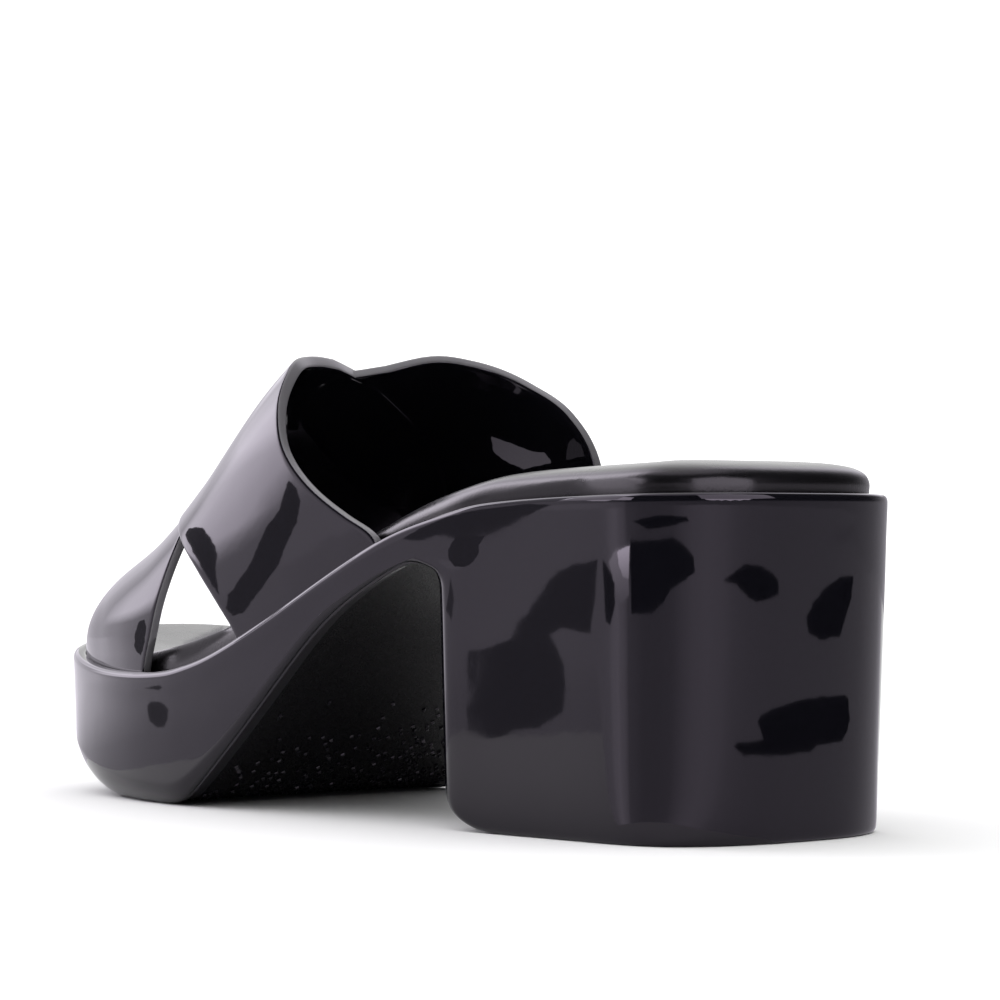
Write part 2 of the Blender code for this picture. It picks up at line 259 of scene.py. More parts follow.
# Noises of the finishes, as scale and detail, and the scale of the pad's pebble grain
SWIRL = (55.0, 3.0)
HAZE = (140.0, 4.0)
RIPPLE = (38.0, 2.0)
PEEL = (420.0, 2.0)
GRAIN = (2600.0, 3.0)
DENTS = (90.0, 3.0)
CLOUD = (3.0, 2.0)
PEBBLE_SCALE = 1500.0

# Shares of a finish's colour or roughness between which its noise runs, and the roughness of the
# tread and the floor
SWIRL_SHADES = (0.85, 1.15)
HAZE_SHARES = (0.7, 1.3)
# The tread's two shares keep the underside's colour at a fifth to two fifths of the gloss: painted shade,
# with a real grain running through it
TREAD_SHADE_AND_GRAIN_SHARES = (0.2, 0.4)
GRAIN_ROUGHNESS = (0.2, 0.36)
PAD_SHADES = (0.85, 1.2)
PAD_HAZE_SHARES = (0.85, 1.15)
FLOOR_SHADES = (0.985, 1.0)
FLOOR_ROUGHNESS = 0.8

# Relief of the finishes as height in metres and strength, the fine peel's share of the ripple, and
# the tint and share of the light that they mirror
PEEL_SHARE = 0.03
GRAIN_RELIEF = (0.00006, 0.6)
DENT_RELIEF = (0.0004, 0.2)
PEBBLE_RELIEF = (0.0001, 0.15)
GLOSS_TINT = (0.97, 0.88, 1.0, 1.0)
TREAD_TINT = (0.95, 0.86, 1.0, 1.0)
TREAD_SPECULAR = 0.12
PAD_TINT = (1.0, 0.94, 1.0, 1.0)
PAD_SPECULAR = 0.42

# What the gloss mirrors: a domed room round the heel's outer corner, as azimuth in degrees with the
# brightness at the floor, above it, high up and overhead, and the lower rows of its wall again,
# far out, where they shade the floor
ROOM_CENTRE = (-0.103, 0.034)
ROOM_RADIUS = 1.5
ROOM_ELEVATIONS = ((0.0, 3.0), (6.0, 14.0), (17.0, 28.0, 57.0), (66.0, 80.0))
SHADE_RADIUS = 3.9
SHADE_ROWS = 6
ROOM_WALL = (
    (-25.0, 0.8, 1.0, 2.3, 1.6),
    (-7.0, 1.7, 1.95, 2.3, 1.6),
    (5.0, 1.9, 1.95, 4.2, 2.2),
    (13.0, 1.9, 4.4, 6.2, 2.8),
    (19.0, 1.6, 5.4, 6.8, 2.8),
    (28.0, 1.3, 5.6, 7.4, 2.2),
    (34.0, 1.25, 5.0, 5.0, 1.8),
    (38.0, 1.25, 2.1, 2.2, 1.6),
    (47.0, 1.4, 1.1, 0.8, 1.4),
    (53.0, 1.4, 0.9, 0.15, 1.3),
    (60.0, 1.35, 0.6, 0.05, 1.3),
    (68.0, 1.1, 0.3, 0.04, 1.3),
    (71.0, 0.7, 0.1, 0.03, 1.3),
    (89.0, 0.6, 0.03, 0.02, 1.3),
    (240.0, 0.5, 0.02, 0.02, 1.3),
    (262.0, 0.5, 0.1, 0.05, 1.3),
    (280.0, 0.6, 0.5, 0.3, 1.3),
    (305.0, 0.6, 0.8, 2.2, 1.5),
)
ROOM_STEP = 2.0
ROOM_COLOUR = (1.0, 0.96, 1.05)

# Floor cards of the room, as azimuth with the brightness, and as reach with the share of it that
# takes the place of the floor's own
FRONT_CARD = (
    (-25.0, 1.2), (-12.0, 1.6), (0.0, 2.0), (8.0, 2.3), (18.0, 1.6), (30.0, 1.2), (42.0, 1.15), (52.0, 1.15),
)
FRONT_CARD_REACH = ((0.24, 0.0), (0.32, 0.12), (0.45, 0.7), (0.6, 1.0), (ROOM_RADIUS, 1.0))
BACK_CARD = (
    (52.0, 1.15), (55.0, 1.25), (57.0, 1.6), (60.0, 1.8), (63.0, 1.55), (67.0, 1.3), (69.2, 1.0),
    (70.4, 0.8), (89.0, 0.62), (115.0, 0.62), (135.0, 0.69), (148.0, 0.98), (158.0, 1.2), (170.0, 1.32),
    (182.0, 1.2), (190.0, 0.96), (200.0, 0.82), (215.0, 0.7), (230.0, 0.63), (250.0, 0.54), (275.0, 0.6),
    (288.0, 0.9),
)
BACK_CARD_REACH = ((0.03, 1.0), (ROOM_RADIUS, 1.0))
FLOOR_BRIGHTNESS = 0.95
FLOOR_SEGMENTS = 8
CARD_HEIGHT = 0.0003
HIDDEN_FROM = ("camera", "diffuse", "shadow", "transmission", "volume_scatter")

# Flags that hang close to the shoe and are mirrored in it: for each one its distance from the shoe,
# its brightness at the top and at the bottom, and its mirrored outline in the picture's pixels
FLAG_CUTS = 4
FLAG_RAGGED = 1.0
FLAG_RAGGED_PITCH = 0.23
FLAG_FAR = 0.08
FLAG_NEAR = 0.03
FLAG_INSIDE = 0.015
FLAG_CLOSE = 0.008
FLAGS = {
    "heel_side": (FLAG_FAR, 0.25, 0.25, (
        (597, 560), (571, 565), (558, 571), (545, 589), (532, 609), (518, 622), (512, 639), (471, 652),
        (471, 681), (466, 708), (469, 731), (482, 739), (502, 736), (515, 729), (538, 727), (564, 711),
        (566, 691), (563, 665), (550, 635), (561, 627), (591, 634), (594, 606))),
    "heel_rim": (FLAG_FAR, 0.3, 0.3, (
        (400, 540), (425, 526), (448, 517), (472, 511), (500, 507), (530, 504), (552, 505), (522, 517),
        (515, 525), (496, 533), (485, 538), (476, 543), (462, 544), (453, 541), (445, 538), (436, 537),
        (420, 541))),
    "heel_lobe": (FLAG_CLOSE, 0.3, 0.3, (
        (456, 537), (485, 536), (479, 545), (479, 553), (474, 561), (466, 567), (455, 567), (449, 560),
        (448, 550), (453, 541))),
    "heel_front_streak": (FLAG_FAR, 0.4, 0.4, ((451, 578), (454, 599), (452, 620), (446, 609), (449, 589))),
    "corner_streak": (FLAG_FAR, 0.1, 0.1, (
        (602, 560), (607, 566), (614, 579), (615, 606), (610, 627), (606, 622), (607, 596))),
    "corner_dark": (FLAG_FAR, 0.0, 0.0, (
        (630, 540), (656, 541), (672, 538), (685, 547), (694, 559), (695, 572), (670, 592), (663, 606),
        (652, 614), (631, 614))),
    "corner_light": (FLAG_NEAR, 10.0, 4.0, (
        (617, 552), (622, 548), (629, 546), (629, 580), (623, 577), (619, 566))),
    "corner_glow": (FLAG_FAR, 4.0, 1.6, (
        (609, 563), (614, 551), (629, 546), (629, 597), (620, 606), (614, 584))),
    "corner_top": (FLAG_NEAR, 0.0, 0.0, (
        (632, 521), (658, 515), (687, 516), (690, 520), (667, 526), (649, 529))),
    "back_middle": (FLAG_FAR, 0.0, 0.0, (
        (723, 580), (739, 570), (748, 565), (761, 567), (773, 574), (779, 582), (779, 594), (768, 599),
        (757, 602), (746, 594), (737, 585))),
    "back_right": (FLAG_FAR, 0.0, 0.0, (
        (813, 603), (824, 588), (840, 577), (853, 576), (851, 597), (846, 617), (840, 637), (819, 640),
        (808, 632), (806, 619))),
    "back_low": (FLAG_FAR, 0.0, 0.0, (
        (734, 747), (737, 743), (753, 741), (764, 738), (762, 731), (758, 721), (761, 716), (772, 710),
        (797, 702), (815, 698), (845, 695), (848, 698), (850, 718), (847, 731), (842, 741), (817, 745),
        (810, 752), (788, 755), (744, 757))),
    "rim_dash_left": (FLAG_FAR, 5.0, 5.0, (
        (586, 498.5), (612, 497.5), (634, 497), (631, 500), (600, 501), (588, 501))),
    "rim_dash_back": (FLAG_FAR, 6.0, 6.0, (
        (700, 497), (730, 496.5), (755, 497), (750, 500), (725, 500.5), (706, 500))),
    "pad_side": (FLAG_CLOSE, 0.8, 0.8, (
        (472, 503), (492, 493), (530, 484), (560, 480), (584, 478), (584, 493), (550, 494), (515, 496),
        (492, 498))),
    "pad_left": (FLAG_CLOSE, 2.6, 2.6, (
        (586, 480), (612, 478), (638, 480), (636, 488), (612, 491), (590, 489))),
    "pad_back": (FLAG_CLOSE, 2.6, 2.6, (
        (692, 479), (722, 477), (752, 479), (754, 488), (722, 491), (694, 488))),
    "pad_front": (FLAG_CLOSE, 0.7, 0.7, (
        (174, 649), (200, 637), (222, 628), (231, 632), (215, 643), (195, 655), (176, 664))),
    "toe_spot": (FLAG_FAR, 0.3, 0.3, (
        (147, 705), (152, 701), (161, 703), (168, 709), (168, 719), (164, 726), (158, 728), (150, 722))),
    "toe_dash": (FLAG_FAR, 0.3, 0.3, ((145, 688), (159, 685), (162, 687), (159, 690))),
    "strap_front": (FLAG_CLOSE, 0.25, 0.25, (
        (144, 619), (139, 622), (135, 634), (134, 645), (137, 653), (141, 655), (143, 650), (145, 640),
        (146, 626))),
    "strap_edge": (FLAG_NEAR, 0.25, 0.25, (
        (185, 535), (188, 529), (196, 527), (203, 528), (209, 536), (215, 546), (217, 556), (215, 568),
        (217, 585), (219, 596), (213, 587), (203, 569), (193, 552))),
    "strap_middle": (FLAG_NEAR, 0.25, 0.25, (
        (288, 480), (296, 488), (301, 501), (297, 523), (284, 550), (279, 564), (257, 595), (243, 613),
        (232, 616), (226, 608), (228, 595), (250, 564), (259, 544), (266, 528), (279, 510), (284, 490))),
    # The inside flags hang within the upper: those of no brightness are dark sheets mirrored as painted
    # shade inside it, the others painted reflections
    "inside": (FLAG_INSIDE, 0.0, 0.0, (
        (296, 412), (299, 392), (309, 374), (330, 369), (352, 380), (400, 372), (455, 374), (505, 388),
        (540, 406), (565, 424), (580, 442), (587, 459), (552, 467), (520, 474), (480, 482), (440, 493),
        (405, 504), (385, 509), (360, 495), (340, 470), (322, 452), (303, 428))),
    "inside_edge": (FLAG_CLOSE, 0.0, 0.0, (
        (287, 430), (288, 412), (293, 395), (303, 378), (318, 368), (338, 370), (352, 379), (340, 383),
        (322, 384), (310, 396), (302, 412), (297, 430))),
    "inside_patch": (FLAG_CLOSE, 1.15, 1.15, (
        (491, 436), (510, 443), (531, 451), (544, 453), (551, 460), (551, 463), (524, 469), (514, 465),
        (503, 460), (493, 452))),
    "inside_right": (FLAG_CLOSE, 0.3, 0.3, ((568, 444), (573, 438), (581, 446), (585, 456), (566, 460))),
}


def to_metres(point):
    """Move a point from shoe millimetres to the row's frame in metres."""
    x, y, z = point
    return Vector(((x - LENGTH / 2) * MM, (y - MIDDLE_Y) * MM, z * MM))


def smooth_column(x, rows, column):
    """Read one column of a section table at x, on a cubic curve through its rows."""
    xs = rows[:, 0]
    values = rows[:, column]
    slopes = np.gradient(values, xs)
    i = int(np.clip(np.searchsorted(xs, x) - 1, 0, len(xs) - 2))
    span = xs[i + 1] - xs[i]
    t = (x - xs[i]) / span
    first = (1 + 2 * t) * (1 - t) ** 2 * values[i] + t * (1 - t) ** 2 * span * slopes[i]
    second = t * t * (3 - 2 * t) * values[i + 1] + t * t * (t - 1) * span * slopes[i + 1]
    return first + second


def ease(value, low, high):
    """Rise smoothly from 0 at low to 1 at high."""
    t = np.clip((np.asarray(value) - low) / (high - low), 0.0, 1.0)
    return t * t * (3 - 2 * t)


def outline_ring():
    """Return the outline's rows, round the shoe from the lateral side of the heel."""
    lateral = SECTIONS[:, [X, LATERAL, RIM, UNDER, ROUND]]
    medial = SECTIONS[:, [X, MEDIAL, RIM, UNDER, ROUND]]
    return np.vstack([lateral, TOE_FRONT, medial[::-1], HEEL_BACK[::-1]])


def ring_cage(points):
    """Return the closed cage whose smooth curve, a cubic spline, passes through the points."""
    count = len(points)
    matrix = np.zeros((count, count))
    for i in range(count):
        matrix[i, i - 1] = 1 / 6
        matrix[i, i] = 4 / 6
        matrix[i, (i + 1) % count] = 1 / 6
    return np.linalg.solve(matrix, points)


def ring_normals(points):
    """Return the outward unit normal at each point of a ring that runs lateral side first."""
    along = np.roll(points, -1, axis=0) - np.roll(points, 1, axis=0)
    along /= np.linalg.norm(along, axis=1)[:, None]
    return np.column_stack([-along[:, 1], along[:, 0]])


class Plan:
    """The outline's cage in plan, with its normals and the heights along it."""

    def __init__(self):
        columns = dict(zip(OUTLINE_COLUMNS, outline_ring().T))
        self.cage = ring_cage(np.column_stack([columns["x"], columns["y"]]))
        self.normals = ring_normals(self.cage)
        self.rim = columns["rim"]
        self.under = columns["under"]
        self.round = columns["round"]
        self.sections = len(SECTIONS)
        self.across = len(TOE_FRONT) + 1
        self.count = len(self.cage)

    def inset(self, distance):
        """Return the cage moved inwards by a distance, or by one distance for each point."""
        distance = np.broadcast_to(distance, self.count)
        return self.cage - self.normals * distance[:, None]

    def ring_index(self, section, column):
        """Return the ring's index of a grid place that lies on the outline, or None."""
        if column == 0:
            return section
        if column == self.across:
            return 2 * self.sections + self.across - 2 - section
        if section == self.sections - 1:
            return self.sections + column - 1
        if section == 0:
            return self.count - column
        return None


def add_ring(mesh_builder, plan_points, heights):
    """Add a closed ring of vertices."""
    return [mesh_builder.verts.new((x, y, z)) for (x, y), z in zip(plan_points, heights)]


def bridge(mesh_builder, ring_a, ring_b):
    """Join two rings with quads and return the faces."""
    count = len(ring_a)
    faces = []
    for i in range(count):
        j = (i + 1) % count
        faces.append(mesh_builder.faces.new((ring_a[i], ring_a[j], ring_b[j], ring_b[i])))
    return faces


def fill_grid(mesh_builder, plan, ring):
    """Fill a ring with rows of quads from side to side, and return the faces by section."""
    grid = {}
    for section in range(plan.sections):
        for column in range(plan.across + 1):
            index = plan.ring_index(section, column)
            if index is not None:
                grid[section, column] = ring[index]
                continue
            start = ring[plan.ring_index(section, 0)].co
            end = ring[plan.ring_index(section, plan.across)].co
            grid[section, column] = mesh_builder.verts.new(start.lerp(end, column / plan.across))
    faces = []
    for section in range(plan.sections - 1):
        for column in range(plan.across):
            corners = ((section, column), (section + 1, column),
                       (section + 1, column + 1), (section, column + 1))
            faces.append((section, mesh_builder.faces.new([grid[c] for c in corners])))
    return faces


def in_metres(mesh_builder):
    """Bring a bmesh from shoe millimetres into the row's frame."""
    for vert in mesh_builder.verts:
        vert.co = to_metres(vert.co)
    return mesh_builder


def add_mesh(name, mesh_builder, materials):
    """Turn a bmesh into an object of the scene."""
    mesh = bpy.data.meshes.new(name)
    mesh_builder.to_mesh(mesh)
    mesh_builder.free()
    for material in materials:
        mesh.materials.append(material)
    thing = bpy.data.objects.new(name, mesh)
    bpy.context.scene.collection.objects.link(thing)
    return thing


def add_piece(name, mesh_builder, materials):
    """Turn a bmesh in the row's frame into a smooth piece of the shoe."""
    bmesh.ops.recalc_face_normals(mesh_builder, faces=mesh_builder.faces)
    piece = add_mesh(name, mesh_builder, materials)
    piece.data.shade_smooth()
    return piece


def add_subdivision(piece):
    """Round a cage with a Subdivision Surface."""
    modifier = piece.modifiers.new("Subdivision", "SUBSURF")
    modifier.levels = SUBDIVISIONS
    modifier.render_levels = SUBDIVISIONS


class Nodes:
    """A material's node tree with short calls to add nodes and links."""

    def __init__(self, name):
        self.material = bpy.data.materials.new(name)
        self.material.use_nodes = True
        self.tree = self.material.node_tree
        self.shader = self.tree.nodes["Principled BSDF"]

    def add(self, kind, **settings):
        """Add a node and set its own properties."""
        node = self.tree.nodes.new(kind)
        for key, value in settings.items():
            setattr(node, key, value)
        return node

    def link(self, output, target):
        """Link an output socket to an input socket."""
        self.tree.links.new(output, target)

    def feed(self, name, output):
        """Link an output socket to one of the shader's inputs."""
        self.link(output, self.shader.inputs[name])

    def set_input(self, name, value):
        """Give one of the shader's inputs a constant value."""
        self.shader.inputs[name].default_value = value

    def object_place(self):
        """Add the object's own coordinates."""
        return self.add("ShaderNodeTexCoord").outputs["Object"]

    def noise(self, kind, place):
        """Add a noise of a scale and a detail."""
        node = self.add("ShaderNodeTexNoise")
        node.inputs["Scale"].default_value, node.inputs["Detail"].default_value = kind
        self.link(place, node.inputs["Vector"])
        return node.outputs["Fac"]

    def spread(self, value, shares, whole=1.0):
        """Map a 0 to 1 value to a range between two shares of a whole."""
        node = self.add("ShaderNodeMapRange")
        for name, share in zip(("To Min", "To Max"), shares):
            node.inputs[name].default_value = whole * share
        self.link(value, node.inputs["Value"])
        return node.outputs["Result"]

    def bump(self, height, relief, below=None):
        """Add a bump of a relief's distance and strength, on top of another one where given."""
        node = self.add("ShaderNodeBump")
        node.inputs["Distance"].default_value, node.inputs["Strength"].default_value = relief
        self.link(height, node.inputs["Height"])
        if below is not None:
            self.link(below, node.inputs["Normal"])
        return node.outputs["Normal"]

    def shades(self, value, colour, shares):
        """Map a 0 to 1 value to a colour between two of its shades."""
        node = self.add("ShaderNodeValToRGB")
        for element, share in zip(node.color_ramp.elements, shares):
            element.color = (*(channel * share for channel in colour), 1.0)
        self.link(value, node.inputs["Fac"])
        return node.outputs["Color"]


def gloss_moulding(name, finish):
    """Black moulded plastic: a wet gloss over faint swirls, with the slow ripple of a thick wall."""
    nodes = Nodes(name)
    place = nodes.object_place()
    nodes.feed("Base Color", nodes.shades(nodes.noise(SWIRL, place), finish.gloss_colour, SWIRL_SHADES))
    nodes.feed("Roughness", nodes.spread(nodes.noise(HAZE, place), HAZE_SHARES, finish.gloss_roughness))
    slow = nodes.bump(nodes.noise(RIPPLE, place), (finish.ripple, 1.0))
    peel = nodes.bump(nodes.noise(PEEL, place), (finish.ripple * PEEL_SHARE, 1.0), slow)
    nodes.feed("Normal", peel)
    nodes.set_input("IOR", finish.gloss_ior)
    nodes.set_input("Specular Tint", GLOSS_TINT)
    return nodes.material


def tread_with_painted_shade(name, finish):
    """The underside: the same black plastic with a fine spark-eroded texture, its colour darkened as painted
    shade.
    """
    nodes = Nodes(name)
    grain = nodes.noise(GRAIN, nodes.object_place())
    # Painted shade: the grain runs between darkened shares of the gloss colour
    nodes.feed("Base Color", nodes.shades(grain, finish.gloss_colour, TREAD_SHADE_AND_GRAIN_SHARES))
    nodes.feed("Roughness", nodes.spread(grain, GRAIN_ROUGHNESS))
    nodes.feed("Normal", nodes.bump(grain, GRAIN_RELIEF))
    nodes.set_input("Specular IOR Level", TREAD_SPECULAR)
    nodes.set_input("Specular Tint", TREAD_TINT)
    return nodes.material


def highlighted_cut_edge(name, finish):
    """The bands' cut edges: duller than the gloss, and paler as a painted highlight of the light that they
    catch.
    """
    nodes = Nodes(name)
    nodes.set_input("Base Color", (*finish.edge_highlight_colour, 1.0))
    nodes.set_input("Roughness", finish.edge_roughness)
    return nodes.material


def pad_cover(name, finish):
    """Black coated cloth over foam: a soft sheen with a fine pebble grain and slow dents."""
    nodes = Nodes(name)
    place = nodes.object_place()
    pebble = nodes.add("ShaderNodeTexVoronoi", feature="SMOOTH_F1")
    pebble.inputs["Scale"].default_value = PEBBLE_SCALE
    nodes.link(place, pebble.inputs["Vector"])
    dents = nodes.noise(DENTS, place)
    nodes.feed("Base Color", nodes.shades(dents, finish.pad_colour, PAD_SHADES))
    nodes.feed("Roughness", nodes.spread(dents, PAD_HAZE_SHARES, finish.pad_roughness))
    slow = nodes.bump(dents, DENT_RELIEF)
    nodes.feed("Normal", nodes.bump(pebble.outputs["Distance"], PEBBLE_RELIEF, slow))
    nodes.set_input("Specular IOR Level", PAD_SPECULAR)
    nodes.set_input("Specular Tint", PAD_TINT)
    return nodes.material


def plain_floor(name, colour):
    """A pale, almost matt studio floor."""
    nodes = Nodes(name)
    cloud = nodes.noise(CLOUD, nodes.object_place())
    nodes.feed("Base Color", nodes.shades(cloud, colour, FLOOR_SHADES))
    nodes.set_input("Roughness", FLOOR_ROUGHNESS)
    nodes.set_input("Specular IOR Level", 0.0)
    return nodes.material


def shaded_glow(name):
    """An emitting surface as bright as the mesh's own brightness attribute."""
    material = bpy.data.materials.new(name)
    material.use_nodes = True
    tree = material.node_tree
    tree.nodes.clear()
    attribute = tree.nodes.new("ShaderNodeAttribute")
    attribute.attribute_name = BRIGHTNESS
    emission = tree.nodes.new("ShaderNodeEmission")
    emission.inputs["Color"].default_value = (*ROOM_COLOUR, 1.0)
    output = tree.nodes.new("ShaderNodeOutputMaterial")
    tree.links.new(attribute.outputs["Fac"], emission.inputs["Strength"])
    tree.links.new(emission.outputs["Emission"], output.inputs["Surface"])
    return material


def add_card(name, rows, material):
    """Add a studio card through rows of (place, brightness) that only the gloss can see."""
    mesh_builder = bmesh.new()
    brightness = mesh_builder.verts.layers.float.new(BRIGHTNESS)
    grid = []
    for row in rows:
        grid.append([])
        for place, value in row:
            vert = mesh_builder.verts.new(place)
            vert[brightness] = value
            grid[-1].append(vert)
    for low, high in zip(grid, grid[1:]):
        for i in range(len(low) - 1):
            mesh_builder.faces.new((low[i], low[i + 1], high[i + 1], high[i]))
    return add_stage_mesh(name, mesh_builder, material)


def add_stage_mesh(name, mesh_builder, material):
    """Turn a bmesh into a piece of the studio that is seen only in reflections."""
    card = add_mesh(name, mesh_builder, [material])
    for ray in HIDDEN_FROM:
        setattr(card, "visible_" + ray, False)
    return card


def round_room(azimuth, radius, height):
    """Return a place in the room at an azimuth about its centre, in degrees."""
    angle = math.radians(azimuth)
    return (ROOM_CENTRE[0] + radius * math.cos(angle), ROOM_CENTRE[1] + radius * math.sin(angle), height)


def room_azimuths(table):
    """Return close azimuths over a table's range, with all of its own."""
    own = np.array(table)[:, 0]
    return np.union1d(own, np.arange(own[0], own[-1], ROOM_STEP))


def table_column(table, column, azimuths):
    """Read a column of a room table at the azimuths."""
    rows = np.array(table)
    return np.interp(azimuths, rows[:, 0], rows[:, column])


def picture_ray(camera, pixel):
    """Return the camera's ray through a pixel of the picture."""
    x = (pixel[0] - PICTURE / 2) / FOCAL_PIXELS
    y = (PICTURE / 2 - pixel[1]) / FOCAL_PIXELS
    return (camera.matrix_world.to_3x3() @ Vector((x, y, -1.0))).normalized()


class Mirror:
    """A piece's shown surface, with the smooth normal where a ray meets it."""

    def __init__(self, piece):
        graph = bpy.context.evaluated_depsgraph_get()
        self.mesh = piece.evaluated_get(graph).data
        self.tree = BVHTree.FromObject(piece, graph)

    def meet(self, start, ray):
        """Return the depth, the place and the smooth normal where a ray meets the surface, or None."""
        place, flat_normal, face, depth = self.tree.ray_cast(start, ray)
        if place is None:
            return None
        verts = [self.mesh.vertices[i] for i in self.mesh.polygons[face].vertices]
        weights = poly_3d_calc([vert.co for vert in verts], place)
        normal = sum((vert.normal * weight for vert, weight in zip(verts, weights)), Vector())
        return depth, place, normal.normalized()


def mirrored_place(camera, mirrors, pixel, distance):
    """Return the place that the shoe mirrors at a pixel, at a distance from its surface."""
    start = camera.matrix_world.translation
    ray = picture_ray(camera, pixel)
    hits = [mirror.meet(start, ray) for mirror in mirrors]
    hits = [hit for hit in hits if hit is not None]
    if not hits:
        raise RuntimeError(f"no surface behind pixel {tuple(pixel)}")
    depth, place, normal = min(hits, key=lambda hit: hit[0])
    return place + ray.reflect(normal) * distance


def front_lift(x):
    """Return how far the heel's underside is raised towards its front."""
    return HEEL_FRONT_LIFT * ease(x, HEEL_LIFT_FROM, SECTIONS[BREAST_SECTION, X])


def arc_gap(depth, radius):
    """Return the gap between a square corner and its rounding, at a depth along one side."""
    if depth >= radius:
        return 0.0
    return radius - math.sqrt(radius ** 2 - (radius - depth) ** 2)


def start_fillet(vert, ahead):
    """Move a breast line's vertex forward along the arch, to where the heel's fillet starts."""
    share = (FILLET + BREAST_FORWARD) / (ahead.co.x - vert.co.x)
    vert.co = vert.co.lerp(ahead.co, share)


def draft_heel(verts, breast_layer, level):
    """Put one level of the heel block at its height, drawn in by its draft."""
    breast_x = SECTIONS[BREAST_SECTION, X]
    half_width = SECTIONS[BREAST_SECTION, LATERAL]
    side_run = SECTIONS[BREAST_SECTION] - SECTIONS[BREAST_SECTION - 1]
    side_slope = side_run[LATERAL] / side_run[X]
    for vert in verts:
        lowered = min(level, vert.co.z - LEVEL_STEP)
        draw_in = WALL_DRAFT * (vert.co.z - lowered)
        vert.co.x = breast_x + (vert.co.x - breast_x) * (1 - draw_in / breast_x)
        vert.co.y *= 1 - draw_in / half_width
        vert.co.z = lowered
    breast = [vert for vert in verts if vert[breast_layer]]
    lateral = max(vert.co.y for vert in breast)
    medial = min(vert.co.y for vert in breast)
    for vert in breast:
        below = SECTIONS[BREAST_SECTION, UNDER] - vert.co.z
        corner = CORNER * float(ease(below, 0.0, FILLET))
        inside = min(lateral - vert.co.y, vert.co.y - medial)
        forward = BREAST_FORWARD * float(ease(below, 0.0, FILLET))
        x = breast_x + forward + arc_gap(below, FILLET) - arc_gap(inside, corner)
        if vert.co.y > 0:
            vert.co.y += side_slope * (x - vert.co.x)
        vert.co.x = x


def extrude_heel(mesh_builder, heel_faces, ring_layer, wall_foot):
    """Draw the heel block down from the faces behind the breast line and shape its underside."""
    breast_layer = mesh_builder.verts.layers.int.new("breast")
    behind = (SECTIONS[BREAST_SECTION - 1, X] + SECTIONS[BREAST_SECTION, X]) / 2
    for face in heel_faces:
        for vert in face.verts:
            vert[breast_layer] = int(vert.co.x > behind)
    for level in HEEL_LEVELS:
        extruded = bmesh.ops.extrude_face_region(mesh_builder, geom=heel_faces)["geom"]
        bmesh.ops.delete(mesh_builder, geom=heel_faces, context="FACES_KEEP_BOUNDARY")
        heel_faces = [item for item in extruded if isinstance(item, bmesh.types.BMFace)]
        verts = [item for item in extruded if isinstance(item, bmesh.types.BMVert)]
        draft_heel(verts, breast_layer, level)
        if level < LIFTED_BELOW:
            for vert in verts:
                vert.co.z = level + front_lift(vert.co.x)
    boundary = {vert for face in heel_faces for edge in face.edges for vert in edge.verts
                if sum(other in heel_faces for other in edge.link_faces) == 1}
    for vert in verts:
        step = 0 if vert in boundary else vert[ring_layer] - wall_foot
        level = HEEL_EDGE[step] if 0 <= step < len(HEEL_EDGE) else PANEL_RECESS
        vert.co.z = level + front_lift(vert.co.x)


def settle_order(elements, key):
    """Put a bmesh's elements in an order that is the same in each run."""
    ranks = {element: rank for rank, element in enumerate(sorted(elements, key=key))}
    elements.sort(key=ranks.get)
    elements.index_update()


def build_sole_mesh():
    """Mould the platform and the block heel as one cage with a recess for the insole."""
    plan = Plan()
    mesh_builder = bmesh.new()
    ring_layer = mesh_builder.verts.layers.int.new("ring")
    rings = []
    for inset, drop in LIP_RINGS:
        rings.append(add_ring(mesh_builder, plan.inset(inset), plan.rim - drop))
    last_inset, last_drop = LIP_RINGS[-1]
    wall_top = plan.rim - last_drop
    for share in WALL_SHARES:
        heights = wall_top + (plan.under + plan.round - wall_top) * share
        drafted = last_inset + WALL_DRAFT * (wall_top - heights)
        rings.append(add_ring(mesh_builder, plan.inset(drafted), heights))
    edge_inset = last_inset + WALL_DRAFT * (wall_top - plan.under)
    for inset_share, height_share in EDGE_STEPS:
        inset = edge_inset + plan.round * inset_share
        rings.append(add_ring(mesh_builder, plan.inset(inset), plan.under + plan.round * height_share))
    bead_inset = edge_inset + np.maximum(plan.round, STRIP_WIDTH)
    lifted = ease(plan.under, 0.0, BEAD_FADE)
    for inset, rise in BEAD_RINGS:
        rings.append(add_ring(mesh_builder, plan.inset(bead_inset + inset), plan.under + rise * lifted))
    panel = plan.inset(bead_inset + PANEL_INSET)
    rings.append(add_ring(mesh_builder, panel, plan.under + PANEL_RECESS))
    for number, ring in enumerate(rings):
        for vert in ring:
            vert[ring_layer] = number
    medial_breast = plan.ring_index(BREAST_SECTION, plan.across)
    wall_foot = len(LIP_RINGS) + len(WALL_SHARES) - 1
    for ring in rings[wall_foot:]:
        start_fillet(ring[BREAST_SECTION], ring[BREAST_SECTION + 1])
        start_fillet(ring[medial_breast], ring[medial_breast - 1])
    strips = []
    for upper_ring, lower_ring in zip(rings, rings[1:]):
        strips.append(bridge(mesh_builder, upper_ring, lower_ring))
    fill_grid(mesh_builder, plan, rings[0])
    under_faces = fill_grid(mesh_builder, plan, rings[-1])
    heel_faces = [face for section, face in under_faces if section < BREAST_SECTION]
    for strip in strips[wall_foot:]:
        for index, face in enumerate(strip):
            if index < BREAST_SECTION or index >= medial_breast:
                heel_faces.append(face)
    extrude_heel(mesh_builder, heel_faces, ring_layer, wall_foot)
    mark_underside(mesh_builder, ring_layer, len(rings) - 1)
    settle_order(mesh_builder.verts, lambda vert: tuple(vert.co))
    settle_order(mesh_builder.edges, lambda edge: sorted(vert.index for vert in edge.verts))
    settle_order(mesh_builder.faces, lambda face: sorted(vert.index for vert in face.verts))
    return mesh_builder


